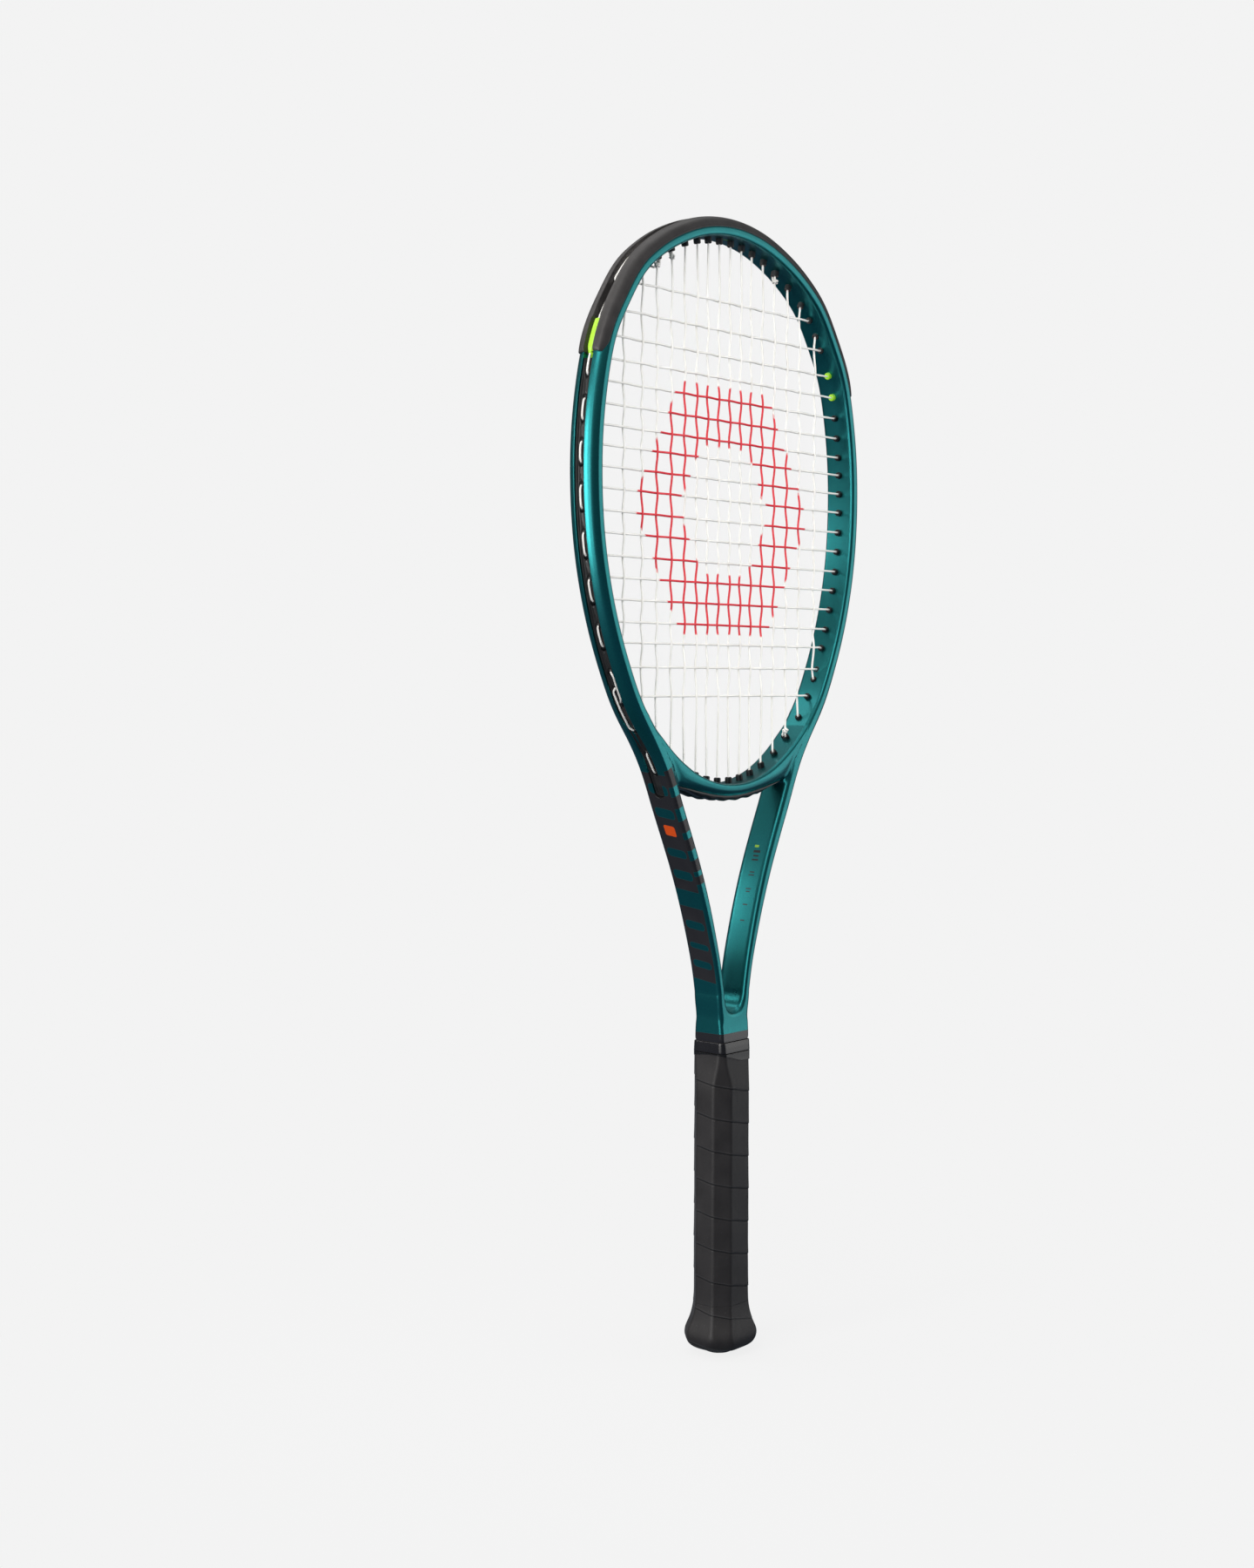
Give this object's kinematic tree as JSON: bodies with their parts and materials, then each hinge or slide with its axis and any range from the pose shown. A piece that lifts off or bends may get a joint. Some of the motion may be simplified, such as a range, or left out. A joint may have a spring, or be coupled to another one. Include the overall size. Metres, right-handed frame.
{
  "type": "tennis racket",
  "caption": "Full-size tennis racket: hollow box-beam hoop with throat bridge, woven string bed in grommet strips, bumper guard, wrapped octagonal grip, rubber collar and flared butt cap.",
  "frame": {"origin": "centre of the flat end of the butt cap", "axes": "+Z from the butt cap to the tip of the head, X across the head, Y across the thickness of the beam"},
  "size_m": [0.262, 0.0366, 0.6858],
  "materials": {
    "frame_paint": "metallic teal lacquer over carbon laminate",
    "guard": "matt moulded nylon",
    "grommet": "satin moulded nylon",
    "lime_grommet": "satin moulded nylon",
    "string": "satin monofilament",
    "foam": "moulded rigid foam",
    "cap": "satin moulded",
    "badge": "blank disc",
    "staple": "plated wire",
    "grip": "satin synthetic grip tape",
    "tape": "gloss vinyl tape",
    "collar": "gloss rubber"
  },
  "bodies": {
    "racket": {"frame_hairpin": "frame_paint", "throat_bridge": "frame_paint", "bumper_guard": "guard", "side_grommet_strip_left": "grommet", "side_grommet_strip_right": "grommet", "accent_grommet_left": "lime_grommet", "accent_grommet_right": "lime_grommet", "throat_grommet_strip": "grommet", "main_string": "string", "cross_string": "string", "handle_pallet": "foam", "butt_cap": "cap", "butt_badge": "badge", "butt_staple_front": "staple", "butt_staple_back": "staple", "heel_wrap": "grip", "grip_tape": "grip", "finishing_tape": "tape"},
    "collar": {"grip_collar": "collar"}
  },
  "joints": [
    {"name": "collar_slide", "type": "slide", "parent": "racket", "child": "collar", "axis": [0, 0, 1], "range_m": [0, 0.012]}
  ]
}
